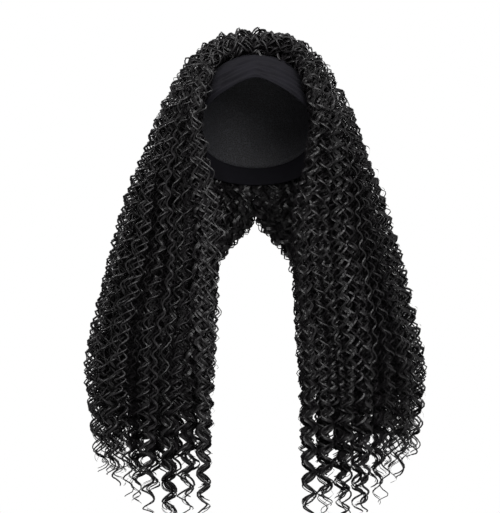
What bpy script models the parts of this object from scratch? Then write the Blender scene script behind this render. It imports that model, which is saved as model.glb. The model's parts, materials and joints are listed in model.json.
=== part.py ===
"""Half wig: a stretch headband, a close net cap behind it, and long curly hair in four sections.

Metres, +Z up, the face looks along -Y, so the wearer's left is at +X. The origin is the inside of the cap
at the top of the head.
"""

import math

import bmesh
import bpy
import numpy as np
from mathutils import Vector

# The head that the cap and band are made to fit, 560 mm round, and how square its rounded outline is
HEAD_WIDTH = 0.156
HEAD_LENGTH = 0.196
CROWN_HEIGHT = 0.095
SKULL_DROP = 0.130
HEAD_ROUNDNESS = 2.3

# Fabric
CAP_WALL = 0.0012
CAP_UNDER_BAND = 0.010
BAND_WALL = 0.0020
BAND_CLEARANCE = 0.0005
FOLD_HEIGHT = 0.0004
FOLDS_ACROSS = 3.5
FOLD_BENDS = {"bends_round_head": (2, 5), "folds_high": (0.3, 0.1)}

# Edges of the band, as heights from the origin at the forehead and at the nape, and how they peak between
BAND_LOWER_FRONT = -0.034
BAND_LOWER_NAPE = -0.160
BAND_LOWER_PEAK = 0.6
BAND_UPPER_FRONT = -0.003
BAND_UPPER_NAPE = -0.128
BAND_UPPER_PEAK = 1.1

# Hair round the head
CROWN_RISE = 0.026
SIDE_VOLUME = 0.053
FRONT_VOLUME = 0.012
BACK_VOLUME = 0.038
HAIR_CLEARANCE = 0.0013
HAIR_LAP = 0.006
HAIR_LIFT_RUN = 0.018
SEAM_CLEARANCE = 0.0006

# Hair below the head
HAIR_WIDTH = 0.426
FRONT_REACH = 0.125
BACK_REACH = 0.146
HAIR_LENGTH = 0.590
FALL_THICKNESS = 0.044
TIP_THICKNESS = 0.010
FACE_OPENING = 0.134
BACK_PARTING = 0.124
LET_GO_RUN = 0.060

# Locks: relief across them, waves along them, and how the waves drift in radians from lock to lock.
# Next to a seam the swing dies out over a share of the section, and each free edge is rounded off inwards.
LOCK_RELIEF = 0.011
LOCK_CRIMP = 0.3
CRIMP_DRIFT = 1.7
WAVE_LENGTH = 0.080
WAVE_SWING = 0.007
SWING_DRIFT = 2.5
SWING_START = 0.18
STILL_SHARE = 0.33
EDGE_ROUNDING = (0.45, 0.15)
TAPER_CURVE = 1.5

# Facets: an even number of points to a lock, because the inside has half as many
ROUND_STEPS = 40
CAP_ROWS = 9
BAND_STEPS = 6
POINTS_PER_LOCK = 4
WHORL_LATITUDE = math.radians(3)
CROWN_ROWS = 2
HAIRLINE_ROWS = 3
SIDE_ROWS = 4
FALL_ROWS = 22
STRAIGHT_SHARE = 0.72
WIDEST_EDGE = 0.98
SHARP_EDGE = math.radians(50)

# Hair over the head, by latitude from the crown: how much of the rise and volumes above it has there
DOME = {
    "latitude": (0, 15, 30, 45, 60, 75, 90),
    "rise": (1.00, 0.72, 0.39, 0.14, -0.04, 0.00, 0.00),
    "side": (0.08, 0.49, 0.55, 0.63, 0.68, 0.83, 1.00),
    "front": (0.30, 0.70, 0.85, 1.00, 0.80, 0.40, 0.00),
    "back": (0.10, 0.58, 0.64, 0.67, 0.72, 0.84, 1.00),
}

# Hair below the widest part of the head (drop 0) to its longest tip (drop 1). Width, front and back run from
# the size at drop 0 (0) to the full width and reaches (1). The rest are shares of the sizes of their names.
FALL = {
    "drop": (0.00, 0.084, 0.15, 0.224, 0.28, 0.335, 0.447, 0.56, 0.62, 0.70, 0.78, 0.88, 1.00),
    "width": (0.00, 0.15, 0.33, 0.465, 0.56, 0.64, 0.79, 0.95, 1.00, 0.965, 0.92, 0.86, 0.78),
    "front": (0.00, 0.05, 0.12, 0.25, 0.38, 0.50, 0.75, 0.95, 1.00, 1.00, 0.97, 0.90, 0.80),
    "back": (0.00, 0.20, 0.40, 0.60, 0.72, 0.82, 0.96, 1.00, 0.95, 0.85, 0.72, 0.55, 0.35),
    "opening": (1.00, 0.955, 0.87, 0.72, 0.70, 0.73, 0.76, 0.81, 0.82, 0.84, 0.84, 0.84, 0.84),
    "parting": (0.00, 0.00, 0.00, 0.00, 0.45, 0.82, 1.00, 1.00, 1.00, 1.00, 0.98, 0.95, 0.92),
    "thickness": (1.00, 1.05, 1.05, 1.00, 1.00, 1.00, 1.00, 0.97, 0.95, 0.88, 0.78, 0.60, 0.30),
}

# Each lock's tip, from the opening or the parting round to the side, and the notches before, between and
# after them, as drops
FRONT_LOCKS = {
    "tip": (1.00, 0.985, 0.99, 0.965, 0.90, 0.86),
    "notch": (0.90, 0.745, 0.86, 0.87, 0.84, 0.77, 0.75),
}
BACK_LOCKS = {
    "tip": (0.90, 0.93, 0.92, 0.90, 0.87),
    "notch": (0.78, 0.80, 0.82, 0.80, 0.78, 0.75),
}

HALF_TURN = math.pi
SIDE_AZIMUTH = math.pi / 2
BAND_INSIDE = CAP_WALL + BAND_CLEARANCE
BAND_OUTSIDE = BAND_INSIDE + BAND_WALL
HAIR_ON_CAP = CAP_WALL + HAIR_CLEARANCE
HAIR_ON_BAND = BAND_OUTSIDE + FOLD_HEIGHT + HAIR_CLEARANCE
FALL_HEIGHT = HAIR_LENGTH - CROWN_HEIGHT


def column(table, key, name, at):
    """A table's column read at a place between its rows."""
    return float(np.interp(at, table[key], table[name]))


def clamp(value):
    return min(max(value, 0.0), 1.0)


def plan_point(azimuth, half_width, front, back):
    """A point of a rounded outline seen from above: azimuth 0 is at the face, 90 degrees at +X."""
    depth = front if math.cos(azimuth) > 0 else back
    across = abs(math.sin(azimuth)) / half_width
    along = abs(math.cos(azimuth)) / depth
    radius = (across**HEAD_ROUNDNESS + along**HEAD_ROUNDNESS) ** (-1 / HEAD_ROUNDNESS)
    return Vector((radius * math.sin(azimuth), -radius * math.cos(azimuth), 0))


def azimuth_at_x(x, half_width, depth, behind):
    """The azimuth where a rounded outline is x to the side of the middle, in front or behind."""
    share = min(x / half_width, WIDEST_EDGE)
    turn = math.atan2(x, depth * (1 - share**HEAD_ROUNDNESS) ** (1 / HEAD_ROUNDNESS))
    return HALF_TURN - turn if behind else turn


def latitude_of(z):
    """The angle from the top of the head down to the height z on its surface."""
    above = z > -CROWN_HEIGHT
    share = clamp(abs(z + CROWN_HEIGHT) / (CROWN_HEIGHT if above else SKULL_DROP))
    turn = math.acos(share ** (HEAD_ROUNDNESS / 2))
    return turn if above else math.pi - turn


def head_section(latitude, offset):
    """(half width, half length, z) of the head at a latitude, its surface moved out by an offset."""
    reach = CROWN_HEIGHT if latitude < math.pi / 2 else SKULL_DROP
    spread = max(math.sin(latitude), 0.0) ** (2 / HEAD_ROUNDNESS)
    height = abs(math.cos(latitude)) ** (2 / HEAD_ROUNDNESS)
    z = math.copysign(height, math.cos(latitude)) * (reach + offset) - CROWN_HEIGHT
    return (HEAD_WIDTH / 2 + offset) * spread, (HEAD_LENGTH / 2 + offset) * spread, z


def head_point(azimuth, latitude, offset):
    half_width, half_length, z = head_section(latitude, offset)
    point = plan_point(azimuth, half_width, half_length, half_length)
    point.z = z
    return point


def band_lower_edge(azimuth):
    """Height of the band's lower edge, which dips from the forehead over the ears to the nape."""
    share = ((1 - math.cos(azimuth)) / 2) ** BAND_LOWER_PEAK
    return BAND_LOWER_FRONT + (BAND_LOWER_NAPE - BAND_LOWER_FRONT) * share


def band_upper_edge(azimuth):
    share = ((1 - math.cos(azimuth)) / 2) ** BAND_UPPER_PEAK
    return BAND_UPPER_FRONT + (BAND_UPPER_NAPE - BAND_UPPER_FRONT) * share


TEMPLE_AZIMUTH = azimuth_at_x(
    FACE_OPENING / 2, HEAD_WIDTH / 2 + HAIR_ON_BAND, HEAD_LENGTH / 2 + HAIR_ON_BAND, False
)


def hairline_azimuth(latitude):
    """Where the front hair starts at a latitude: along the band's upper edge, then down over the temple."""
    z = head_section(latitude, 0.0)[2] + HAIR_LAP
    share = clamp((z - BAND_UPPER_FRONT) / (BAND_UPPER_NAPE - BAND_UPPER_FRONT))
    return min(math.acos(1 - 2 * share ** (1 / BAND_UPPER_PEAK)), TEMPLE_AZIMUTH)


def dome_latitudes():
    """Rows of hair over the head: to the band, along it to the temple, and down to the widest part."""
    stops = (
        WHORL_LATITUDE,
        latitude_of(BAND_UPPER_FRONT - HAIR_LAP),
        latitude_of(band_upper_edge(TEMPLE_AZIMUTH) - HAIR_LAP),
        SIDE_AZIMUTH,
    )
    latitudes = [WHORL_LATITUDE]
    for start, end, rows in zip(stops, stops[1:], (CROWN_ROWS, HAIRLINE_ROWS, SIDE_ROWS)):
        latitudes += [start + (end - start) * (row + 1) / rows for row in range(rows)]
    return latitudes


def material(name, colour, roughness):
    made = bpy.data.materials.new(name)
    made.use_nodes = True
    shader = made.node_tree.nodes["Principled BSDF"]
    shader.inputs["Base Color"].default_value = (*colour, 1)
    shader.inputs["Roughness"].default_value = roughness
    shader.inputs["Metallic"].default_value = 0
    return made


def add_object(name, points, faces, finish):
    """A named object of one closed mesh, its faces turned outwards."""
    mesh = bpy.data.meshes.new(name)
    mesh.from_pydata([tuple(point) for point in points], [], faces)
    shape = bmesh.new()
    shape.from_mesh(mesh)
    bmesh.ops.recalc_face_normals(shape, faces=shape.faces)
    shape.to_mesh(mesh)
    shape.free()
    mesh.shade_smooth()
    mesh.set_sharp_from_angle(angle=SHARP_EDGE)
    mesh.materials.append(finish)
    made = bpy.data.objects.new(name, mesh)
    bpy.context.scene.collection.objects.link(made)
    return made


def make_cap(finish):
    """The dome behind the band: one thin wall, open at the face and underneath."""
    azimuths = [2 * math.pi * i / ROUND_STEPS for i in range(ROUND_STEPS)]
    points = [Vector((0, 0, CAP_WALL)), Vector((0, 0, 0))]
    rings = {}
    for wall, offset in enumerate((CAP_WALL, 0.0)):
        for row in range(1, CAP_ROWS + 1):
            rings[wall, row] = len(points)
            for azimuth in azimuths:
                rim = latitude_of(band_upper_edge(azimuth)) + CAP_UNDER_BAND / CROWN_HEIGHT
                points.append(head_point(azimuth, rim * row / CAP_ROWS, offset))
    faces = []
    for i in range(ROUND_STEPS):
        j = (i + 1) % ROUND_STEPS
        for wall in (0, 1):
            faces.append((wall, rings[wall, 1] + i, rings[wall, 1] + j))
            for row in range(1, CAP_ROWS):
                upper, lower = rings[wall, row], rings[wall, row + 1]
                faces.append((upper + i, upper + j, lower + j, lower + i))
        outer, inner = rings[0, CAP_ROWS], rings[1, CAP_ROWS]
        faces.append((outer + i, outer + j, inner + j, inner + i))
    return add_object("cap", points, faces, finish)


def fold(azimuth, across):
    """Soft folds along the band's outside, fading towards its edges and the nape."""
    lie = FOLDS_ACROSS * across
    for bends, height in zip(FOLD_BENDS["bends_round_head"], FOLD_BENDS["folds_high"]):
        lie += height * math.sin(bends * azimuth)
    fade = math.sin(math.pi * across) * (1 + math.cos(azimuth)) / 2
    return FOLD_HEIGHT * fade * math.sin(2 * math.pi * lie)


def make_headband(finish):
    """The stretch band, one closed loop from the forehead over the ears to the nape."""
    points = []
    for i in range(ROUND_STEPS):
        azimuth = 2 * math.pi * i / ROUND_STEPS
        lower = latitude_of(band_lower_edge(azimuth))
        upper = latitude_of(band_upper_edge(azimuth))
        steps = [step / BAND_STEPS for step in range(BAND_STEPS + 1)]
        for across in steps:
            latitude = lower + (upper - lower) * across
            points.append(head_point(azimuth, latitude, BAND_OUTSIDE + fold(azimuth, across)))
        for across in reversed(steps):
            points.append(head_point(azimuth, lower + (upper - lower) * across, BAND_INSIDE))
    ring = 2 * (BAND_STEPS + 1)
    faces = []
    for i in range(ROUND_STEPS):
        here, there = i * ring, (i + 1) % ROUND_STEPS * ring
        for k in range(ring):
            n = (k + 1) % ring
            faces.append((here + k, here + n, there + n, there + k))
    return add_object("headband", points, faces, finish)


def clear_of_fabric(azimuth, z):
    """How far out the hair's inside lies: on the cap, and on the band from a little above its upper edge."""
    return HAIR_ON_BAND if z < band_upper_edge(azimuth) + HAIR_LIFT_RUN else HAIR_ON_CAP


def dome_sizes(latitude):
    """(half width, front, back, z) of the hair's outside over the head."""
    degrees = math.degrees(latitude)
    half_width, half_length, z = head_section(latitude, 0.0)
    return (
        half_width + SIDE_VOLUME * column(DOME, "latitude", "side", degrees),
        half_length + FRONT_VOLUME * column(DOME, "latitude", "front", degrees),
        half_length + BACK_VOLUME * column(DOME, "latitude", "back", degrees),
        z + CROWN_RISE * column(DOME, "latitude", "rise", degrees),
    )


def fall_sizes(drop):
    """(half width, front, back) of the hair's outside at a drop."""
    half_width, front, back, _ = dome_sizes(SIDE_AZIMUTH)
    return (
        half_width + (HAIR_WIDTH / 2 - half_width) * column(FALL, "drop", "width", drop),
        front + (FRONT_REACH - front) * column(FALL, "drop", "front", drop),
        back + (BACK_REACH - back) * column(FALL, "drop", "back", drop),
    )


def inside_sizes(outside, thickness, z, behind):
    """(half width, front, back) of the hair's inside: close to the head to below the band, then let go."""
    lowest_fabric = band_lower_edge(HALF_TURN if behind else SIDE_AZIMUTH) - HAIR_LAP
    share = clamp((lowest_fabric - z) / LET_GO_RUN)
    free = share * share * (3 - 2 * share)
    half_width, half_length, _ = head_section(latitude_of(z), HAIR_ON_BAND)
    head = (half_width, half_length, half_length)
    return tuple(near + (far - thickness - near) * free for near, far in zip(head, outside))


def lock_end(share, locks):
    """The drop at which the hair ends at a place along a section: pointed locks with notches between."""
    count = len(locks["tip"])
    lock = min(int(share * count), count - 1)
    within = share * count - lock
    notch = locks["notch"][lock + 1 if within > 0.5 else lock]
    return notch + (locks["tip"][lock] - notch) * (1 - abs(2 * within - 1))


def swing(z, share, edge_freedom):
    """Sideways wave of the hair, none at the seams and none at the crown."""
    growth = clamp((CROWN_RISE - z) / CROWN_HEIGHT)
    freedom = edge_freedom + (1 - edge_freedom) * math.sin(math.pi * share)
    freedom = min(freedom, (1 - share) / STILL_SHARE)
    wave = math.sin(2 * math.pi * z / WAVE_LENGTH + SWING_DRIFT * share)
    return WAVE_SWING * growth * freedom * wave


def relief(share, count, z):
    """How far the outside stands out over a lock, or in between two, with a crimp along it."""
    ridge = math.sin(math.pi * share * count) ** 2 - 0.5
    wave = math.sin(2 * math.pi * z / WAVE_LENGTH + CRIMP_DRIFT * int(share * count))
    return LOCK_RELIEF * ridge * (1 + LOCK_CRIMP * wave)


def dome_pair(share, latitude, count, behind):
    """The outside and inside points of the hair over the head, and how free the section's edge is there."""
    half_width, front, back, z = dome_sizes(latitude)
    inner_edge = outer_edge = HALF_TURN
    if not behind:
        inner_edge = hairline_azimuth(latitude)
        edge_x = head_point(inner_edge, latitude, HAIR_ON_BAND).x
        outer_edge = azimuth_at_x(edge_x, half_width, front, behind)
    shift = swing(z, share, 0.0) / half_width
    outer = plan_point(outer_edge + (SIDE_AZIMUTH - outer_edge) * share + shift, half_width, front, back)
    outer += outer.normalized() * relief(share, count, z) * clamp(latitude / SIDE_AZIMUTH)
    outer.z = z
    inner_z = head_section(latitude, 0.0)[2]
    azimuth = inner_edge + (SIDE_AZIMUTH - inner_edge) * share + shift
    inner = head_point(azimuth, latitude, clear_of_fabric(azimuth, inner_z))
    return outer, inner, 0.0 if behind else inner_edge / TEMPLE_AZIMUTH


def fall_pair(share, level, locks, behind):
    """The outside and inside points of the hair at a level below the head, and how free the edge is."""
    tail = max(0.0, (level - STRAIGHT_SHARE) / (1 - STRAIGHT_SHARE))
    drop = min(level, STRAIGHT_SHARE) + (lock_end(share, locks) - STRAIGHT_SHARE) * tail
    z = -CROWN_HEIGHT - drop * FALL_HEIGHT
    thickness = FALL_THICKNESS * column(FALL, "drop", "thickness", drop)
    thickness += (TIP_THICKNESS - thickness) * tail**TAPER_CURVE
    outside = fall_sizes(drop)
    inside = inside_sizes(outside, thickness, z, behind)
    if behind:
        freedom = rounding = column(FALL, "drop", "parting", drop)
        edge_x = BACK_PARTING / 2 * freedom
    else:
        freedom, rounding = clamp(drop / SWING_START), 1.0
        edge_x = FACE_OPENING / 2 * column(FALL, "drop", "opening", drop)
    pair = []
    for sizes in (outside, inside):
        edge = azimuth_at_x(edge_x, sizes[0], sizes[2 if behind else 1], behind)
        shift = swing(z, share, freedom) / outside[0]
        azimuth = edge + (SIDE_AZIMUTH - edge) * share + (-shift if behind else shift)
        pair.append(plan_point(azimuth, *sizes))
    outer, inner = pair
    slimness = clamp(thickness / FALL_THICKNESS)
    outer += outer.normalized() * relief(share, len(locks["tip"]), z) * slimness
    outer.z = inner.z = z
    return outer, inner, rounding


def make_section(name, locks, behind, side, finish):
    """A section of hair from the crown to its tips, from the hairline or parting round to the side."""
    count = len(locks["tip"])
    columns = count * POINTS_PER_LOCK
    latitudes = dome_latitudes()
    outer, inner = [], []
    for row in range(len(latitudes) + FALL_ROWS):
        pairs = []
        for k in range(columns + 1):
            if row < len(latitudes):
                pair = dome_pair(k / columns, latitudes[row], count, behind)
            else:
                level = (row - len(latitudes) + 1) / FALL_ROWS
                pair = fall_pair(k / columns, level, locks, behind)
            pairs.append(pair)
        for (outside, inside, freedom), rounding in zip(pairs, EDGE_ROUNDING):
            outside.xyz = outside.lerp(inside, rounding * freedom)
        outer.append([pair[0] for pair in pairs])
        inner.append([pair[1] for pair in pairs[::2]])
    seam = SEAM_CLEARANCE / 2
    points = [p for row in outer for p in row] + [p for row in inner for p in row]
    points = [(side * (p.x + seam), p.y + (seam if behind else -seam), p.z) for p in points]
    return add_object(name, points, sheet_faces(len(outer), columns), finish)


def sheet_faces(rows, columns):
    """Faces of a closed sheet: outside, inside, two side walls, and the strips at its top and its tips."""
    inside = rows * (columns + 1)
    inside_columns = columns // 2

    def out(row, k):
        return row * (columns + 1) + k

    def back(row, k):
        return inside + row * (inside_columns + 1) + k

    faces = []
    for row in range(rows - 1):
        for k in range(columns):
            faces.append((out(row, k), out(row, k + 1), out(row + 1, k + 1), out(row + 1, k)))
        for k in range(inside_columns):
            faces.append((back(row, k), back(row + 1, k), back(row + 1, k + 1), back(row, k + 1)))
        for k, j in ((0, 0), (columns, inside_columns)):
            faces.append((out(row, k), out(row + 1, k), back(row + 1, j), back(row, j)))
    for row in (0, rows - 1):
        for j in range(inside_columns):
            k = 2 * j
            faces.append((out(row, k), out(row, k + 1), back(row, j)))
            faces.append((out(row, k + 1), back(row, j + 1), back(row, j)))
            faces.append((out(row, k + 1), out(row, k + 2), back(row, j + 1)))
    return faces


def main():
    for stale in list(bpy.data.objects):
        bpy.data.objects.remove(stale, do_unlink=True)
    knit = material("stretch knit, black", (0.011, 0.010, 0.014), 0.85)
    net = material("cap net, black", (0.006, 0.006, 0.007), 0.80)
    hair = material("curly fibre, black", (0.0033, 0.0033, 0.0037), 0.40)
    make_cap(net)
    make_headband(knit)
    for side, wearer_side in ((1, "left"), (-1, "right")):
        make_section(f"front_hair_{wearer_side}", FRONT_LOCKS, False, side, hair)
        make_section(f"back_hair_{wearer_side}", BACK_LOCKS, True, side, hair)


main()
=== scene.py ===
"""Looks of the half wig: curled fibre in locks, a stretch-knit band and a net cap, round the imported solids."""

import json
import math

import bpy
import numpy as np
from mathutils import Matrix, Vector

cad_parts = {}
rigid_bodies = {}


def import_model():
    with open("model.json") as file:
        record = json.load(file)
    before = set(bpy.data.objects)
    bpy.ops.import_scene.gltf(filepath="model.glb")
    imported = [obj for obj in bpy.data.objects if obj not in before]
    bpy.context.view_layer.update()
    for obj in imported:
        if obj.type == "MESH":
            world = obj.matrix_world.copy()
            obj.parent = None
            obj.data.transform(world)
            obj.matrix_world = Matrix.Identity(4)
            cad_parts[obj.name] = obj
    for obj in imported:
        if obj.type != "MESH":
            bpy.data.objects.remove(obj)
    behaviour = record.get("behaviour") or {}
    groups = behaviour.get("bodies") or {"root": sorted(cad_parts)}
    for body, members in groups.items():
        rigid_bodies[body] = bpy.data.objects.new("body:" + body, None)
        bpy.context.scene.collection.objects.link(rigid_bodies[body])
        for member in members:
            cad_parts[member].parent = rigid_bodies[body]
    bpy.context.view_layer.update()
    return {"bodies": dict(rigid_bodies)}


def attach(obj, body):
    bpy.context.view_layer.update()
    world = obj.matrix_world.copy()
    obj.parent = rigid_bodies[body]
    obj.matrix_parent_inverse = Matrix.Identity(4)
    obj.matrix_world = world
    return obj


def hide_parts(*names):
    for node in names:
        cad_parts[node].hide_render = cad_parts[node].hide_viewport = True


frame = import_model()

BODY = next(iter(frame["bodies"]))
MM = 0.001
TAU = 2 * math.pi
SIDE = math.pi / 2
BACK = math.pi
chance = np.random.default_rng(24)


# Sizes in metres, as the solids have them but for the crown and the sides, where loose curls stand proud

HEAD_WIDTH = 156 * MM
HEAD_LENGTH = 196 * MM
CROWN_HEIGHT = 95 * MM
SKULL_DROP = 130 * MM
ROUNDNESS = 2.3

CAP_WALL = 1.2 * MM
CAP_UNDER_BAND = 10 * MM
BAND_WALL = 2.0 * MM
BAND_CLEARANCE = 0.5 * MM
HAIR_CLEARANCE = 1.7 * MM
BAND_INSIDE = CAP_WALL + BAND_CLEARANCE
BAND_OUTSIDE = BAND_INSIDE + BAND_WALL
HAIR_ON_BAND = BAND_OUTSIDE + HAIR_CLEARANCE
HAIR_ON_CAP = CAP_WALL + HAIR_CLEARANCE
# The lower edge peaks at the middle of the forehead, where it is rounded off
BAND_LOWER = {"front": -37 * MM, "nape": -160 * MM, "peak": 0.6, "rounded": 0.004}
BAND_UPPER = {"front": -3 * MM, "nape": -128 * MM, "peak": 1.1, "rounded": 0.0}

# The curls on the crown stand 3 mm proud of the solids
CROWN_RISE = 29 * MM
SIDE_VOLUME = 53 * MM
FRONT_VOLUME = 12 * MM
BACK_VOLUME = 38 * MM
HAIR_LAP = 6 * MM
HAIR_WIDTH = 426 * MM
FRONT_REACH = 125 * MM
BACK_REACH = 146 * MM
HAIR_LENGTH = 590 * MM
FALL_THICKNESS = 44 * MM
FACE_OPENING = 134 * MM
BACK_PARTING = 124 * MM
LET_GO_RUN = 60 * MM
FALL_HEIGHT = HAIR_LENGTH - CROWN_HEIGHT

# Where the hair's front edge leaves the band bare: half the bare width in metres, by height
BARE_BAND = {
    "height": (-0.095, -0.071, -0.050, -0.020, -0.010, -0.006, -0.003, -0.001, 0.0),
    "half_width": (0.067, 0.063, 0.059, 0.052, 0.046, 0.038, 0.022, 0.004, 0.0),
}

# Hair over the head by latitude from the crown, as shares of the rise and volumes above it
DOME = {
    "latitude": (0, 15, 30, 45, 60, 75, 90),
    "rise": (1.00, 0.72, 0.39, 0.14, -0.04, 0.00, 0.00),
    "side": (0.08, 0.49, 0.54, 0.60, 0.64, 0.73, 0.88),
    "front": (0.30, 0.70, 0.85, 1.00, 0.80, 0.40, 0.00),
    "back": (0.10, 0.58, 0.64, 0.67, 0.72, 0.84, 1.00),
}

# Hair from the widest part of the head (drop 0) to its longest tip (drop 1)
FALL = {
    "drop": (0.00, 0.084, 0.15, 0.224, 0.28, 0.335, 0.447, 0.56, 0.62, 0.70, 0.78, 0.88, 1.00),
    "width": (0.00, 0.15, 0.33, 0.465, 0.56, 0.64, 0.79, 0.95, 1.00, 0.965, 0.92, 0.86, 0.78),
    "front": (0.00, 0.05, 0.12, 0.25, 0.38, 0.50, 0.75, 0.95, 1.00, 1.00, 0.97, 0.90, 0.80),
    "back": (0.00, 0.20, 0.40, 0.60, 0.72, 0.82, 0.96, 1.00, 0.95, 0.85, 0.72, 0.55, 0.35),
    "opening": (1.00, 0.955, 0.87, 0.72, 0.70, 0.73, 0.76, 0.81, 0.82, 0.84, 0.84, 0.84, 0.84),
    "parting": (0.00, 0.00, 0.00, 0.00, 0.45, 0.82, 1.00, 1.00, 1.00, 1.00, 0.98, 0.95, 0.92),
    "thickness": (1.00, 1.05, 1.05, 1.00, 1.00, 1.00, 1.00, 0.97, 0.95, 0.88, 0.78, 0.60, 0.30),
}

# Where the locks end, from the opening or the parting (share 0) round to the side (share 1)
LOCK_ENDS = {
    "share": (0.00, 0.08, 0.25, 0.42, 0.58, 0.75, 0.90, 1.00),
    "front": (1.00, 1.00, 0.985, 0.99, 0.965, 0.90, 0.86, 0.84),
    "back": (0.90, 0.90, 0.93, 0.92, 0.91, 0.88, 0.86, 0.84),
}


# Colours and finishes

def linear(hex_colour):
    """An sRGB hex colour as linear RGBA."""
    parts = [int(hex_colour[i:i + 2], 16) / 255 for i in (1, 3, 5)]
    return (*[c / 12.92 if c <= 0.04045 else ((c + 0.055) / 1.055) ** 2.4 for c in parts], 1.0)


def add_node(tree, kind, settings=None, **sockets):
    """Adds a node. A socket takes a value, or a link from another node's output; _ stands for a space."""
    made = tree.nodes.new(kind)
    for name, value in (settings or {}).items():
        setattr(made, name, value)
    for name, value in sockets.items():
        socket = made.inputs[name.replace("_", " ")]
        if isinstance(value, bpy.types.NodeSocket):
            tree.links.new(value, socket)
        else:
            socket.default_value = value
    return made


def new_material(name):
    made = bpy.data.materials.new(name)
    made.use_nodes = True
    made.node_tree.nodes.clear()
    return made, made.node_tree


def curled_fibre(name, dark, light, rough):
    """Heat-curled modacrylic: near-black filaments that glint where a bend faces the light."""
    made, tree = new_material(name)
    tone = add_node(tree, "ShaderNodeAttribute", {"attribute_name": "tone"})
    colour = add_node(
        tree, "ShaderNodeMix", {"data_type": "RGBA"},
        Factor=tone.outputs["Fac"], A=linear(dark), B=linear(light),
    )
    place = add_node(tree, "ShaderNodeTexCoord")
    # Filaments are about 0.1 mm thick; they are drawn 0.8 mm apart so that they show
    filaments = add_node(
        tree, "ShaderNodeTexNoise", Vector=place.outputs["Object"], Scale=1 / (0.8 * MM), Detail=1.0,
    )
    gloss = add_node(
        tree, "ShaderNodeMapRange", Value=filaments.outputs["Fac"], To_Min=rough[0], To_Max=rough[1],
    )
    shader = add_node(
        tree, "ShaderNodeBsdfPrincipled",
        Base_Color=colour.outputs["Result"], Roughness=gloss.outputs["Result"], IOR=1.53,
        Specular_IOR_Level=0.34,
    )
    add_node(tree, "ShaderNodeOutputMaterial", Surface=shader.outputs["BSDF"])
    return made


def stretch_knit():
    """Brushed polyester jersey, doubled: matt, a little blue, with fine wales and soft creases."""
    made, tree = new_material("brushed polyester jersey")
    place = add_node(tree, "ShaderNodeTexCoord")
    around = add_node(tree, "ShaderNodeUVMap", {"uv_map": "knit"})
    # Jersey wales stand about 0.6 mm apart; they are drawn 1.4 mm apart so that they show
    wales = add_node(
        tree, "ShaderNodeTexWave", {"wave_type": "BANDS", "bands_direction": "X"},
        Vector=around.outputs["UV"], Scale=TAU / 20 / (1.4 * MM), Distortion=0.8, Detail=1.0,
    )
    # Brushing leaves patches about 14 mm across a shade lighter
    patches = add_node(
        tree, "ShaderNodeTexNoise", Vector=place.outputs["Object"], Scale=1 / (14 * MM), Detail=3.0,
    )
    colour = add_node(
        tree, "ShaderNodeMix", {"data_type": "RGBA"},
        Factor=patches.outputs["Fac"], A=linear("#0a090d"), B=linear("#131219"),
    )
    bump = add_node(
        tree, "ShaderNodeBump", Height=wales.outputs["Fac"], Strength=0.3, Distance=0.15 * MM,
    )
    shader = add_node(
        tree, "ShaderNodeBsdfPrincipled",
        Base_Color=colour.outputs["Result"], Roughness=0.9, IOR=1.5, Normal=bump.outputs["Normal"],
        Specular_IOR_Level=0.2,
    )
    add_node(tree, "ShaderNodeOutputMaterial", Surface=shader.outputs["BSDF"])
    return made


def cap_net():
    """Warp-knitted nylon net, matt with a fine open grid."""
    made, tree = new_material("warp-knitted nylon net")
    place = add_node(tree, "ShaderNodeTexCoord")
    # Net cells are about 1 mm across; they are drawn 2.5 mm across so that they show
    cells = add_node(
        tree, "ShaderNodeTexVoronoi", {"feature": "DISTANCE_TO_EDGE"},
        Vector=place.outputs["Object"], Scale=1 / (2.5 * MM),
    )
    thread = add_node(
        tree, "ShaderNodeMapRange", Value=cells.outputs["Distance"], From_Max=0.15, To_Min=1.0, To_Max=0.0,
    )
    colour = add_node(
        tree, "ShaderNodeMix", {"data_type": "RGBA"},
        Factor=thread.outputs["Result"], A=linear("#161618"), B=linear("#3a3a40"),
    )
    bump = add_node(tree, "ShaderNodeBump", Height=thread.outputs["Result"], Strength=0.6, Distance=0.3 * MM)
    shader = add_node(
        tree, "ShaderNodeBsdfPrincipled",
        Base_Color=colour.outputs["Result"], Roughness=0.7, IOR=1.53, Normal=bump.outputs["Normal"],
    )
    add_node(tree, "ShaderNodeOutputMaterial", Surface=shader.outputs["BSDF"])
    return made


# The head's and the hair's forms, for arrays of places

def smooth(step):
    step = np.clip(step, 0, 1)
    return step * step * (3 - 2 * step)


def read(table, key, name, at):
    return np.interp(at, table[key], table[name])


def plan_xy(azimuth, half_width, front, back):
    """A rounded outline seen from above: azimuth 0 is at the face, 90 degrees at +X."""
    depth = np.where(np.cos(azimuth) > 0, front, back)
    across = np.abs(np.sin(azimuth)) / half_width
    along = np.abs(np.cos(azimuth)) / depth
    radius = (across**ROUNDNESS + along**ROUNDNESS) ** (-1 / ROUNDNESS)
    return radius * np.sin(azimuth), -radius * np.cos(azimuth)


def azimuth_at_x(x, half_width, depth, behind):
    share = np.minimum(x / half_width, 0.98)
    turn = np.arctan2(share * half_width, depth * (1 - share**ROUNDNESS) ** (1 / ROUNDNESS))
    return BACK - turn if behind else turn


def latitude_of(z):
    reach = np.where(z > -CROWN_HEIGHT, CROWN_HEIGHT, SKULL_DROP)
    turn = np.arccos(np.clip(np.abs(z + CROWN_HEIGHT) / reach, 0, 1) ** (ROUNDNESS / 2))
    return np.where(z > -CROWN_HEIGHT, turn, math.pi - turn)


def head_section(latitude, offset):
    """(half width, half length, z) of the head at a latitude, its surface moved out by an offset."""
    reach = np.where(latitude < SIDE, CROWN_HEIGHT, SKULL_DROP) + offset
    spread = np.maximum(np.sin(latitude), 0) ** (2 / ROUNDNESS)
    height = np.abs(np.cos(latitude)) ** (2 / ROUNDNESS)
    z = np.copysign(height, np.cos(latitude)) * reach - CROWN_HEIGHT
    return (HEAD_WIDTH / 2 + offset) * spread, (HEAD_LENGTH / 2 + offset) * spread, z


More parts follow.
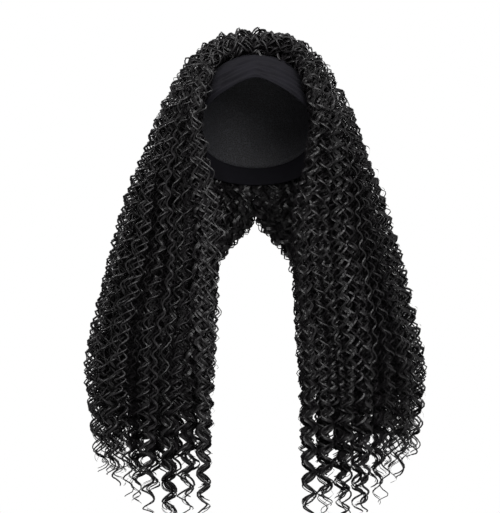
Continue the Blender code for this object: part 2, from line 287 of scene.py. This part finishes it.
def head_points(azimuth, latitude, offset):
    half_width, half_length, z = head_section(latitude, offset)
    x, y = plan_xy(azimuth, half_width, half_length, half_length)
    return np.stack(np.broadcast_arrays(x, y, z), -1)


def band_edge(azimuth, edge):
    """Height of a band edge, which drops from the forehead to the nape."""
    low, high = edge["rounded"] ** edge["peak"], (1 + edge["rounded"]) ** edge["peak"]
    share = (((1 - np.cos(azimuth)) / 2 + edge["rounded"]) ** edge["peak"] - low) / (high - low)
    return edge["front"] + (edge["nape"] - edge["front"]) * share


def hairline(latitude):
    """Azimuth of the hair's front edge at a latitude."""
    half_width, half_length, z = head_section(latitude, 0.0)
    return azimuth_at_x(read(BARE_BAND, "height", "half_width", z), half_width, half_length, False)


def dome_sizes(latitude):
    degrees = np.degrees(latitude)
    half_width, half_length, z = head_section(latitude, 0.0)
    return (
        half_width + SIDE_VOLUME * read(DOME, "latitude", "side", degrees),
        half_length + FRONT_VOLUME * read(DOME, "latitude", "front", degrees),
        half_length + BACK_VOLUME * read(DOME, "latitude", "back", degrees),
        z + CROWN_RISE * read(DOME, "latitude", "rise", degrees),
    )


def fall_sizes(drop):
    half_width, front, back, _ = dome_sizes(SIDE)
    return (
        half_width + (HAIR_WIDTH / 2 - half_width) * read(FALL, "drop", "width", drop),
        front + (FRONT_REACH - front) * read(FALL, "drop", "front", drop),
        back + (BACK_REACH - back) * read(FALL, "drop", "back", drop),
    )


def inside_sizes(outside, thickness, z, behind):
    lowest_fabric = band_edge(BACK if behind else SIDE, BAND_LOWER) - HAIR_LAP
    free = smooth((lowest_fabric - z) / LET_GO_RUN)
    half_width, half_length, _ = head_section(latitude_of(z), HAIR_ON_BAND)
    head = (half_width, half_length, half_length)
    return [near + (far - thickness - near) * free for near, far in zip(head, outside)]


def over_head(share, depth, latitude, behind):
    """Points of the hair over the head: share runs from the hairline or parting to the side, depth inwards."""
    half_width, front, back, z = dome_sizes(latitude)
    inner_edge = outer_edge = BACK
    if not behind:
        inner_edge = hairline(latitude)
        edge_x = head_points(inner_edge, latitude, HAIR_ON_BAND)[..., 0]
        outer_edge = azimuth_at_x(edge_x, half_width, front, behind)
    x, y = plan_xy(outer_edge + (SIDE - outer_edge) * share, half_width, front, back)
    outer = np.stack(np.broadcast_arrays(x, y, z), -1)
    azimuth = inner_edge + (SIDE - inner_edge) * share
    inner = head_points(azimuth, latitude, HAIR_ON_BAND)
    return outer + (inner - outer) * depth[..., None]


def below_head(share, depth, drop, behind):
    """Points of the hair below the head."""
    z = -CROWN_HEIGHT - drop * FALL_HEIGHT
    thickness = FALL_THICKNESS * read(FALL, "drop", "thickness", drop)
    outside = fall_sizes(drop)
    inside = inside_sizes(outside, thickness, z, behind)
    if behind:
        edge_x = BACK_PARTING / 2 * read(FALL, "drop", "parting", drop)
    else:
        edge_x = FACE_OPENING / 2 * read(FALL, "drop", "opening", drop)
    pair = []
    for sizes in (outside, inside):
        edge = azimuth_at_x(edge_x, sizes[0], sizes[2 if behind else 1], behind)
        x, y = plan_xy(edge + (SIDE - edge) * share, *sizes)
        pair.append(np.stack([x, y, z], -1))
    return pair[0] + (pair[1] - pair[0]) * depth[..., None]


# Hair

OVER = np.radians([3, 8, 14, 20, 26, 32, 38, 44, 52, 60, 68, 76, 83, 90])
STEPS_BELOW = 26
ALONG = np.concatenate([np.zeros(len(OVER)), np.arange(1, STEPS_BELOW + 1) / STEPS_BELOW])
# How far the wisps of a lock have gathered together, from the even mass above to the separate tips
GATHER = smooth((ALONG - 0.62) / 0.24)

# Share of the strands that are rooted above each latitude, and how far round each takes to rise to its depth
ROOTS = {"rooted": (0.0, 0.16, 0.34, 0.52, 0.66, 0.80, 0.92, 1.0), "latitude": (3, 10, 20, 35, 50, 65, 80, 96)}
RISE = {"latitude": (3, 14, 40, 90), "run": (8, 18, 32, 36)}


def root_latitude(share, behind):
    """A root somewhere on the cap, above the band."""
    azimuth = BACK - share * SIDE if behind else share * SIDE
    lowest = latitude_of(band_edge(azimuth, BAND_UPPER))
    root = math.radians(read(ROOTS, "rooted", "latitude", chance.uniform(0, 1)))
    return min(max(root, OVER[0]), 0.97 * float(lowest))


def guide(share, depth, end, root, behind):
    """Centre line of a strand from its root to its tip; share and depth are given for every row."""
    over = len(OVER)
    run = math.radians(read(RISE, "latitude", "run", math.degrees(root)))
    risen = 1 + (depth[:over] - 1) * smooth((OVER - root) / run)
    above = over_head(share[:over], risen, OVER, behind)
    below = below_head(share[over:], depth[over:], end * ALONG[over:], behind)
    return np.concatenate([above, below])


def resample(points, first, spacing):
    """A guide at an even spacing from its root, rounded off at the corners."""
    points = points[first:]
    runs = np.concatenate([[0], np.cumsum(np.linalg.norm(np.diff(points, axis=0), axis=1))])
    at = np.arange(int(runs[-1] / spacing)) * spacing
    path = np.stack([np.interp(at, runs, points[:, axis]) for axis in range(3)], -1)
    padded = np.concatenate([np.repeat(path[:1], 4, 0), path, np.repeat(path[-1:], 4, 0)])
    kernel = np.ones(9) / 9
    return np.stack([np.convolve(padded[:, axis], kernel, "valid") for axis in range(3)], -1), at


def unit(vectors):
    return vectors / np.maximum(np.linalg.norm(vectors, axis=-1, keepdims=True), 1e-9)


def frame_along(path):
    """(outwards, across) at each point of a path, both square to it."""
    along = unit(np.gradient(path, axis=0))
    centre = np.zeros_like(path)
    centre[:, 2] = np.minimum(path[:, 2], -CROWN_HEIGHT)
    out = path - centre
    out = unit(out - along * np.sum(out * along, -1, keepdims=True))
    return out, np.cross(along, out)


def clear_of_head(points):
    """Points moved straight out to the band's outer face where they would lie inside it."""
    clear = BAND_OUTSIDE + 0.3 * MM
    above = points[..., 2] > -CROWN_HEIGHT
    centre = np.array((0, 0, -CROWN_HEIGHT))
    spoke = points - centre
    reach = np.where(above, CROWN_HEIGHT, SKULL_DROP) + clear
    across = np.abs(spoke[..., 0]) / (HEAD_WIDTH / 2 + clear)
    along = np.abs(spoke[..., 1]) / (HEAD_LENGTH / 2 + clear)
    up = np.abs(spoke[..., 2]) / reach
    how_far = (across**ROUNDNESS + along**ROUNDNESS + up**ROUNDNESS) ** (1 / ROUNDNESS)
    return centre + spoke / np.clip(how_far, 0.3, 1)[..., None]


class StrandMesh:
    """Collects strands, each a strip of points, into one mesh."""

    def __init__(self):
        self.points, self.faces, self.tones, self.spots = [], [], [], []
        self.count = 0

    def add(self, strip, tone):
        """Adds a strip given as rows of points across it."""
        rows, wide, _ = strip.shape
        index = self.count + np.arange(rows * wide).reshape(rows, wide)
        faces = np.stack([index[:-1, :-1], index[:-1, 1:], index[1:, 1:], index[1:, :-1]], -1)
        self.faces.append(faces.reshape(-1, 4))
        self.points.append(clear_of_head(strip.reshape(-1, 3)))
        self.tones.append(np.full(rows * wide, tone))
        across, along = np.meshgrid(np.linspace(0.1, 0.9, wide), np.linspace(0, 1, rows))
        self.spots.append(np.stack([across, along], -1).reshape(-1, 2))
        self.count += rows * wide

    def build(self, name, finish):
        """Makes the mesh, with each strand in its own column of a UV map."""
        points = np.concatenate(self.points)
        faces = np.concatenate(self.faces)
        spots = np.concatenate([
            (spot + (strand, 0)) / (len(self.spots), 1) for strand, spot in enumerate(self.spots)
        ])
        mesh = bpy.data.meshes.new(name)
        mesh.vertices.add(len(points))
        mesh.vertices.foreach_set("co", points.astype(np.float32).ravel())
        mesh.loops.add(faces.size)
        mesh.loops.foreach_set("vertex_index", faces.astype(np.int32).ravel())
        mesh.polygons.add(len(faces))
        mesh.polygons.foreach_set("loop_start", (4 * np.arange(len(faces))).astype(np.int32))
        mesh.update(calc_edges=True)
        mesh.shade_smooth()
        tone = mesh.attributes.new("tone", "FLOAT", "POINT")
        tone.data.foreach_set("value", np.concatenate(self.tones).astype(np.float32))
        flat = mesh.uv_layers.new(name="OFBake")
        flat.data.foreach_set("uv", spots[faces.ravel()].astype(np.float32).ravel())
        mesh.materials.append(finish)
        made = bpy.data.objects.new(name, mesh)
        bpy.context.scene.collection.objects.link(made)
        print("STRANDS", name, len(self.points), "triangles", 2 * len(faces))
        return made


# The strands of a lock curl each for itself in the mass, and in step with each other below this height
IN_STEP = -470 * MM
STEP_RUN = 90 * MM


def curl(path, at, wave):
    """A strand's centre line with its curl, which is round near the root and flattens into a zigzag."""
    out, across = frame_along(path)
    above = at[-1] - at + path[-1, 2] - IN_STEP
    apart = smooth(above / STEP_RUN)
    turn = wave["phase"] - TAU * above / wave["length"] * (1 + wave["stretch"] * apart)
    turn = turn + wave["apart"] * apart
    turn = turn + wave["drift"] * (0.15 + 0.85 * apart) * np.sin(TAU * at / 0.14 + wave["start"])
    grow = wave["swell"] * smooth(at / 0.03) * (1 + wave["widens"] * (1 - apart))
    sway = wave["sway"] * smooth(at / 0.05) * np.sin(TAU * at / 0.19 + 2 * wave["start"]) * (0.3 + 0.7 * apart)
    roundness = wave["roundness"] + (0.95 - wave["roundness"]) * (1 - smooth((at - 0.04) / 0.12))
    first = grow * (np.cos(turn) + 0.09 * np.cos(3 * turn))
    second = wave["hand"] * grow * roundness * np.sin(turn)
    tilt = wave["tilt"] * (0.15 + 0.85 * apart)
    sideways = first * np.cos(tilt) - second * np.sin(tilt) + sway
    outwards = first * np.sin(tilt) + second * np.cos(tilt) + 0.5 * sway
    return path + across * sideways[:, None] + out * outwards[:, None], turn


def ribbon(path, turn, width, lean):
    """The two edges of a strand, a flat bundle of filaments that rocks as it curls."""
    out, across = frame_along(path)
    rock = (lean + 0.45 * np.sin(turn + 0.7))[:, None]
    flat = (across * np.cos(rock) + out * np.sin(rock)) * width[:, None] / 2
    return np.stack([path - flat, path + flat], 1)


def rod(path, turn, width):
    """The corners of a strand that stands free, three-sided so that it shows from everywhere."""
    out, across = frame_along(path)
    corners = []
    for corner in range(4):
        angle = (TAU * corner / 3 + 0.4 * np.sin(turn))[:, None]
        corners.append(path + (across * np.cos(angle) + out * np.sin(angle)) * width[:, None] / 2)
    return np.stack(corners, 1)


LOCKS = 8
# Layers of a lock from the outside in. Each has its depth, how far it falls short of the lock's end,
# the radius of its curl, how much that widens to the tips, which way the curl is widest (sideways is 0,
# outwards is 90 degrees), and how many points a wave has
LAYERS = {
    "layer": ("loose", "outer", "middle", "inner"),
    "depth": (-0.01, 0.25, 0.56, 0.93),
    "wisps": (4, 13, 5, 4),
    "strands": (1, 3, 3, 2),
    "short": (0.0, 0.0, 0.04, 0.09),
    "width": (3.2 * MM, 2.0 * MM, 3.0 * MM, 3.6 * MM),
    "swell": (6.2 * MM, 4.3 * MM, 4.3 * MM, 4.3 * MM),
    "widens": (0.15, 0.62, 0.62, 0.62),
    "tilt": (math.radians(80), 0, 0, 0),
    "points": (9, 9, 7, 7),
}


def plan_locks(behind, centres):
    """Where each lock of a section hangs and ends, and the wave that its wisps share."""
    ends = read(LOCK_ENDS, "share", "back" if behind else "front", centres)
    return [
        {
            "centre": centre,
            "end": end + chance.uniform(-0.015, 0.01),
            "phase": chance.uniform(0, TAU),
            "wave": chance.uniform(24, 28.5) * MM,
        }
        for centre, end in zip(centres, ends)
    ]


def grow_lock(mesh, behind, side, lock, layer):
    """Adds one layer of a lock: wisps that wave together, each of a few strands side by side."""
    sizes = {name: LAYERS[name][layer] for name in LAYERS}
    # In the mass the middle layer fills the spaces between the outer locks
    between = 0.5 / LOCKS * (sizes["layer"] == "middle") * (1 - GATHER)
    loose = sizes["layer"] == "loose"
    # More strands stand free at the sides than over the chest and the back
    wisps = 1 if loose and lock["centre"] < 0.6 else sizes["wisps"]
    for wisp in range(wisps):
        wisp_share = (wisp + 0.5) / wisps - 0.5 + chance.uniform(-0.2, 0.2)
        wisp_depth = chance.normal(0, 0.04 if loose else 0.10)
        # The first wisp of each layer runs to the lock's end, and the others thin out towards it
        wisp_end = lock["end"] - sizes["short"] - 0.24 * chance.uniform(0, 1) * (wisp > 0)
        wisp_end = min(wisp_end, 1.0)
        wave = {
            "length": lock["wave"],
            "stretch": chance.uniform(0.05, 0.50) * (0.4 if loose else 1),
            "phase": lock["phase"] + chance.normal(0, 0.3),
            "apart": chance.uniform(-math.pi, math.pi),
            "drift": chance.uniform(0.2, 1.3),
            "start": chance.uniform(0, TAU),
            "swell": sizes["swell"] * chance.uniform(0.80, 1.20),
            "widens": sizes["widens"],
            "sway": chance.uniform(0.5, 4.0) * MM,
            "roundness": chance.uniform(0.55, 1.0),
            "hand": chance.choice((-1, 1)),
            "tilt": sizes["tilt"] + chance.uniform(-0.6, 0.6),
        }
        tone = chance.uniform(0.0, 1.0)
        for strand in range(sizes["strands"]):
            share = lock["centre"] + between + wisp_share / LOCKS * (1 - 0.75 * GATHER)
            share = np.clip(share + chance.normal(0, 0.018) * (1 - 0.75 * GATHER), 0.0, 1.03)
            depth = sizes["depth"] + wisp_depth * (1 - 0.3 * GATHER)
            depth = np.clip(depth + chance.normal(0, 0.06) * (1 - 0.7 * GATHER), -0.10, 1.0)
            end = wisp_end - 0.03 * chance.uniform(0, 1) ** 2
            root = root_latitude(min(lock["centre"], 1.0), behind)
            line = guide(share, depth, end, root, behind) * (side, 1, 1)
            own = dict(wave)
            own["apart"] += chance.normal(0, 0.6)
            own["phase"] += chance.normal(0, 0.12)
            path, at = resample(line, int(np.searchsorted(OVER, root)), own["length"] / sizes["points"])
            path, turn = curl(path, at, own)
            left = at[-1] - at
            taper = (0.3 + 0.7 * np.clip(left / 0.07, 0, 1) ** 0.8) * np.clip(0.4 + at / 0.01, 0, 1)
            # Below IN_STEP the filaments of a strand close up and show as a thicker line
            closed = 1 + 0.35 * smooth((IN_STEP + 0.04 - path[:, 2]) / 0.05)
            width = sizes["width"] * chance.uniform(0.6, 1.25) * taper * closed
            lean = chance.uniform(-0.8, 0.8)
            strip = rod(path, turn, width) if loose else ribbon(path, turn, width, lean)
            mesh.add(strip, np.clip(tone + chance.normal(0, 0.15), 0, 1))


CORE_LINES = np.linspace(-1, 1, 5)
CORE_DEPTHS = (0.42, 0.76)


def grow_core(mesh, behind, side, lock, depth0):
    """Adds the close-packed middle of a lock, a rounded strip that waves as its strands do."""
    end = 0.84 * lock["end"] - chance.uniform(0, 0.06)
    narrow = 1 - 0.92 * smooth((ALONG - 0.70) / 0.26)
    root = OVER[0]
    first = 0
    lines = []
    for line in CORE_LINES:
        share = np.clip(lock["centre"] + 0.62 / LOCKS * line * narrow, 0.02, 1.02)
        depth = np.full(len(ALONG), depth0) + 0.14 * line * line
        points = guide(share, depth, end, root, behind) * (side, 1, 1)
        rows = np.arange(0, len(points) - first - 1, 0.25)
        steps = np.arange(len(points) - first)
        lines.append(np.stack([np.interp(rows, steps, points[first:, axis]) for axis in range(3)], -1))
    sheet = np.stack(lines, 1)
    path = sheet[:, 2].copy()
    at = np.concatenate([[0], np.cumsum(np.linalg.norm(np.diff(path, axis=0), axis=1))])
    out, across = frame_along(path)
    phase = chance.uniform(0, TAU)
    for line in range(len(CORE_LINES)):
        turn = TAU * at / (25 * MM) + phase + 1.3 * line
        sheet[:, line] += across * (3.2 * MM * np.cos(turn))[:, None]
        sheet[:, line] += out * (2.4 * MM * np.sin(1.31 * turn + line))[:, None]
    mesh.add(sheet, 0.0)


def grow_flyaway(mesh, behind, side):
    """Adds one fine strand that stands off the rest."""
    place = chance.choice((chance.uniform(0, 0.06), chance.uniform(0.7, 1.0), chance.uniform(0, 1)))
    share = np.full(len(ALONG), place)
    depth = np.full(len(ALONG), chance.uniform(-0.14, 0.02))
    root = root_latitude(place, behind)
    end = read(LOCK_ENDS, "share", "back" if behind else "front", place) * chance.uniform(0.6, 1.0)
    line = guide(share, depth, end, root, behind) * (side, 1, 1)
    wave = {
        "length": chance.uniform(24, 34) * MM, "stretch": 0, "phase": chance.uniform(0, TAU), "apart": 0,
        "drift": 1.2, "start": chance.uniform(0, TAU), "swell": chance.uniform(5, 7) * MM, "sway": 4 * MM,
        "widens": 0.2, "roundness": 0.4, "hand": chance.choice((-1, 1)), "tilt": chance.uniform(-0.8, 0.8),
    }
    path, at = resample(line, int(np.searchsorted(OVER, root)), wave["length"] / 9)
    path, turn = curl(path, at, wave)
    width = 1.3 * MM * (0.4 + 0.6 * np.clip((at[-1] - at) / 0.08, 0, 1))
    mesh.add(ribbon(path, turn, width, 0.6), 0.4)


# Short curls over the crown, from front to back: where they lie along Y, and their depth below the hair's top
CROWN_CURLS = {
    "row": ("front_edge", "top", "behind"),
    "count": (34, 44, 22),
    "front": (-38 * MM, -30 * MM, 30 * MM),
    "back": (-20 * MM, 40 * MM, 75 * MM),
    "deepest": (1.0, 0.45, 0.4),
}


def dome_height(x, y, depth):
    """Height over the head at a place in plan: depth 0 is the hair's top, and 1 the cap."""
    latitude = np.radians(np.linspace(1, 89, 60))
    half_width, front, back, top = dome_sizes(latitude)
    reach = np.where(y[:, None] < 0, front, back)
    round_share = (np.abs(x)[:, None] / half_width) ** ROUNDNESS + (np.abs(y)[:, None] / reach) ** ROUNDNESS
    outer = np.array([np.interp(-1, -row, top) for row in round_share])
    half_width, half_length, low = head_section(latitude, HAIR_ON_CAP)
    round_share = (np.abs(x)[:, None] / half_width) ** ROUNDNESS + (np.abs(y)[:, None] / half_length) ** ROUNDNESS
    inner = np.array([np.interp(-1, -row, low) for row in round_share])
    return outer + (inner - outer) * depth


def grow_crown_curl(mesh, side, row):
    """Adds one short curl that rises beside the middle of the crown and falls to one side."""
    front, back, deepest = (CROWN_CURLS[name][row] for name in ("front", "back", "deepest"))
    step = np.linspace(0, 1, 24)
    start, reach = chance.uniform(-34, 12) * MM, chance.uniform(55, 105) * MM
    x = start + (reach - start) * step
    y = chance.uniform(front, back) + (chance.uniform(-14, 20) * step - 6 * np.sin(math.pi * step)) * MM
    depth = chance.uniform(-0.12, deepest) * np.ones(24)
    depth = depth + (1 - depth) * (1 - smooth(step / 0.22))
    line = np.stack([x, y, dome_height(x, y, depth)], -1) * (side, 1, 1)
    wave = {
        "length": chance.uniform(23, 31) * MM, "stretch": 0, "phase": chance.uniform(0, TAU), "apart": 0,
        "drift": 0.8, "start": chance.uniform(0, TAU), "swell": chance.uniform(5.0, 7.5) * MM, "sway": 2 * MM,
        "widens": 0, "roundness": 0.9, "hand": chance.choice((-1, 1)), "tilt": chance.uniform(-1.2, 1.2),
    }
    path, at = resample(line, 0, wave["length"] / 10)
    path, turn = curl(path, at, wave)
    taper = (0.25 + 0.75 * np.clip((at[-1] - at) / 0.04, 0, 1)) * np.clip(0.4 + at / 0.01, 0, 1)
    width = 3.4 * MM * chance.uniform(0.7, 1.2) * taper
    mesh.add(rod(path, turn, width), chance.uniform(0, 1))


CROWN_CORES = np.arange(-32, 44, 13) * MM


def grow_crown_core(mesh, side, y):
    """Adds the close-packed hair below the crown's curls, a strip that runs from the middle to one side."""
    x = np.linspace(-8, 88, 32) * MM
    phase = chance.uniform(0, TAU)
    lines = []
    for line in CORE_LINES:
        wave = 2.5 * MM * np.sin(TAU * x / (24 * MM) + phase + 1.3 * line)
        points_y = y + 8 * MM * line + wave
        height = dome_height(x, points_y, 0.42 + 0.15 * line * line + wave / (20 * MM))
        lines.append(np.stack([x, points_y, height], -1) * (side, 1, 1))
    # The crown's cores take the lightest tone of their finish, a painted sheen from the light above
    mesh.add(np.stack(lines, 1), 1.0)


def replace_hair():
    """Each hair section's solid gives way to its locks."""
    fibre = curled_fibre("curled modacrylic fibre", "#0b0a0b", "#181618", (0.30, 0.48))
    # A shaded copy of the fibre for the close-packed cores, its colour raised a little as painted fill light so
    # that the deepest gaps are not black
    painted_fill_fibre = curled_fibre("close-packed fibre, painted lighter", "#161516", "#1a191a", (0.60, 0.80))
    for side, wearer_side in ((1, "left"), (-1, "right")):
        # Front and back locks hang in line, so that the light comes through between their tips
        centres = (np.arange(LOCKS) + 0.5 + chance.uniform(-0.12, 0.12, LOCKS)) / LOCKS
        for behind, where in ((False, "front"), (True, "back")):
            outer, inner, core = StrandMesh(), StrandMesh(), StrandMesh()
            locks = plan_locks(behind, centres)
            for layer, name in enumerate(LAYERS["layer"]):
                for lock in locks:
                    grow_lock(outer if name in ("loose", "outer") else inner, behind, side, lock, layer)
            for flyaway in range(10):
                grow_flyaway(inner, behind, side)
            for row, count in enumerate(CROWN_CURLS["count"]):
                if behind == (row == 2):
                    for crown_curl in range(count):
                        grow_crown_curl(outer, side, row)
            for depth0 in CORE_DEPTHS:
                for lock in locks:
                    grow_core(core, behind, side, lock, depth0)
            if not behind:
                for y in CROWN_CORES:
                    grow_crown_core(core, side, y)
            made = ((outer, "outer_curls", fibre), (inner, "inner_curls", fibre), (core, "lock_cores", painted_fill_fibre))
            for mesh, name, finish in made:
                piece = mesh.build(f"{where}_{name}_{wearer_side}", finish)
                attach(piece, BODY)
                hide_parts(f"{where}_hair_{wearer_side}")


def add_mesh(name, points, faces, finish, smooth_shading=True):
    mesh = bpy.data.meshes.new(name)
    mesh.from_pydata([tuple(point) for point in points], [], faces)
    if smooth_shading:
        mesh.shade_smooth()
    mesh.materials.append(finish)
    made = bpy.data.objects.new(name, mesh)
    bpy.context.scene.collection.objects.link(made)
    return made


# Band and cap

AROUND = 288
# Soft creases that run round the band: how many lie across it, how high, and how they bend
CREASES = {
    "across": (4.4, 6.7, 8.6),
    "height": (1.1 * MM, 0.9 * MM, 0.6 * MM),
    "bends": (4, 7, 11),
    "bend": (1.2, 1.2, 1.0),
}


def creases(azimuth, across):
    """Height of the creases at a place on the band; they fade in and out along it."""
    height = 0
    for row, count in enumerate(CREASES["across"]):
        bends, bend = CREASES["bends"][row], CREASES["bend"][row]
        wander = bend * np.sin(bends * azimuth + 1.7 * row) + 0.5 * bend * np.sin(2 * bends * azimuth + row)
        fade = 0.5 + 0.5 * np.sin((bends - 1) * azimuth + 2.1 * row + 3 * across)
        height = height + CREASES["height"][row] * fade * np.cos(TAU * count * across + wander)
    return height


def rings_to_mesh(name, rings, finish):
    """Joins rings of points round Z into one skin, the last ring to the first too."""
    count = len(rings)
    points = np.concatenate(rings)
    faces = []
    for ring in range(count):
        here, there = ring * AROUND, (ring + 1) % count * AROUND
        for step in range(AROUND):
            after = (step + 1) % AROUND
            faces.append((here + step, there + step, there + after, here + after))
    return add_mesh(name, points, faces, finish)


def replace_band():
    azimuth = np.arange(AROUND) / AROUND * TAU
    top = band_edge(azimuth, BAND_UPPER)
    bottom = band_edge(azimuth, BAND_LOWER)
    rings, places = [], []
    rows = 60
    for row in range(rows + 1):
        across = row / rows
        edge = 1 - smooth(min(across, 1 - across) * rows / 2)
        offset = BAND_OUTSIDE - 0.7 * MM * edge + creases(azimuth, across) * (1 - edge)
        rings.append(head_points(azimuth, latitude_of(top + (bottom - top) * across), offset))
        places.append(across)
    for row in range(rows, -1, -6):
        across = row / rows
        inside = np.full(AROUND, BAND_INSIDE)
        rings.append(head_points(azimuth, latitude_of(top + (bottom - top) * across), inside))
        places.append(across)
    piece = rings_to_mesh("jersey_band", rings, stretch_knit())
    mesh = piece.data
    knit = mesh.uv_layers.new(name="knit")
    index = np.zeros(len(mesh.loops), np.int32)
    mesh.loops.foreach_get("vertex_index", index)
    corner = np.arange(len(index)) % 4
    turn = np.where((corner >= 2) & (index % AROUND == 0), TAU, azimuth[index % AROUND])
    uv = np.stack([turn * HEAD_LENGTH / 2, np.array(places)[index // AROUND] * 0.06], -1)
    knit.data.foreach_set("uv", uv.astype(np.float32).ravel())
    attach(piece, BODY)
    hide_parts("headband")


def replace_cap():
    """A thin net dome with the sewn wefts as low ridges round it."""
    azimuth = np.arange(AROUND) / AROUND * TAU
    rim = latitude_of(band_edge(azimuth, BAND_UPPER) - CAP_UNDER_BAND)
    top = math.radians(1.2)
    walls = []
    rows = 36
    weft_spacing = 12 * MM
    for inside in (False, True):
        rings = []
        for row in range(rows + 1):
            latitude = top + (rim - top) * row / rows
            weft = 0.25 * MM * np.clip(np.cos(TAU * latitude * 0.09 / weft_spacing) * 3 - 1.8, 0, 1)
            offset = 0.1 * MM - 0.4 * weft if inside else CAP_WALL - 0.25 * MM + weft
            rings.append(head_points(azimuth, latitude, offset))
        walls.append(rings)
    piece = rings_to_mesh("net_cap", walls[0] + walls[1][::-1], cap_net())
    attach(piece, BODY)
    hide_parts("cap")


# Camera, light and floor

# The photo is 500 x 513 pixels at 1.25 mm to a pixel, with the cap's top inside at pixel (256, 51)
PHOTO = {"wide": 500, "high": 513, "mm_per_pixel": 1.25, "origin_x": 256, "origin_y": 51}
CAMERA_DISTANCE = 2.1
HAIR_FRONT = 0.06


def look_at(thing, target):
    thing.rotation_euler = (Vector(target) - thing.location).to_track_quat("-Z", "Y").to_euler()


def add_camera():
    scale = PHOTO["mm_per_pixel"] * MM
    x = (PHOTO["wide"] / 2 - PHOTO["origin_x"]) * scale
    z = (PHOTO["origin_y"] - PHOTO["high"] / 2) * scale
    lens = bpy.data.cameras.new("camera")
    made = bpy.data.objects.new("camera", lens)
    lens.sensor_width = 36
    lens.lens = 36 * (CAMERA_DISTANCE - HAIR_FRONT) / (PHOTO["high"] * scale)
    made.location = (x, -CAMERA_DISTANCE, z)
    look_at(made, (x, 0, z))
    bpy.context.scene.collection.objects.link(made)
    bpy.context.scene.camera = made


def add_light(name, place, aim, size, watts):
    light = bpy.data.lights.new(name, "AREA")
    light.shape = "DISK"
    light.size = size
    light.energy = watts
    made = bpy.data.objects.new(name, light)
    made.location = place
    look_at(made, aim)
    bpy.context.scene.collection.objects.link(made)


def add_studio():
    """Soft lights round the wig in a white room, and a white floor below the hair's tips."""
    centre = (0, 0, -0.25)
    add_light("key", (-0.6, -2.3, 1.2), centre, 1.2, 34)
    add_light("fill", (0.9, -2.3, 0.4), centre, 1.2, 34)
    add_light("top", (0.1, -0.7, 1.9), centre, 1.0, 26)
    add_light("back_left", (-1.0, 2.1, 0.8), centre, 1.0, 18)
    add_light("back_right", (1.0, 2.1, 0.5), centre, 1.0, 18)
    world = bpy.data.worlds.new("studio white")
    bpy.context.scene.world = world
    world.use_nodes = True
    tree = world.node_tree
    tree.nodes.clear()
    rays = add_node(tree, "ShaderNodeLightPath")
    strength = add_node(
        tree, "ShaderNodeMapRange", Value=rays.outputs["Is Camera Ray"], To_Min=0.5, To_Max=1.0,
    )
    light = add_node(
        tree, "ShaderNodeBackground", Color=(1, 1, 1, 1), Strength=strength.outputs["Result"],
    )
    add_node(tree, "ShaderNodeOutputWorld", Surface=light.outputs["Background"])
    floor_finish, tree = new_material("white paper sweep")
    paper = add_node(tree, "ShaderNodeEmission", Color=(1, 1, 1, 1), Strength=1.0)
    add_node(tree, "ShaderNodeOutputMaterial", Surface=paper.outputs["Emission"])
    half, height = 10.0, -0.75
    corners = [(-half, -half, height), (half, -half, height), (half, half, height), (-half, half, height)]
    floor = add_mesh("floor", corners, [(0, 1, 2, 3)], floor_finish, False)
    floor.visible_diffuse = False
    floor.visible_glossy = False
    bpy.context.scene.view_settings.view_transform = "Standard"


replace_hair()
replace_band()
replace_cap()
add_camera()
add_studio()
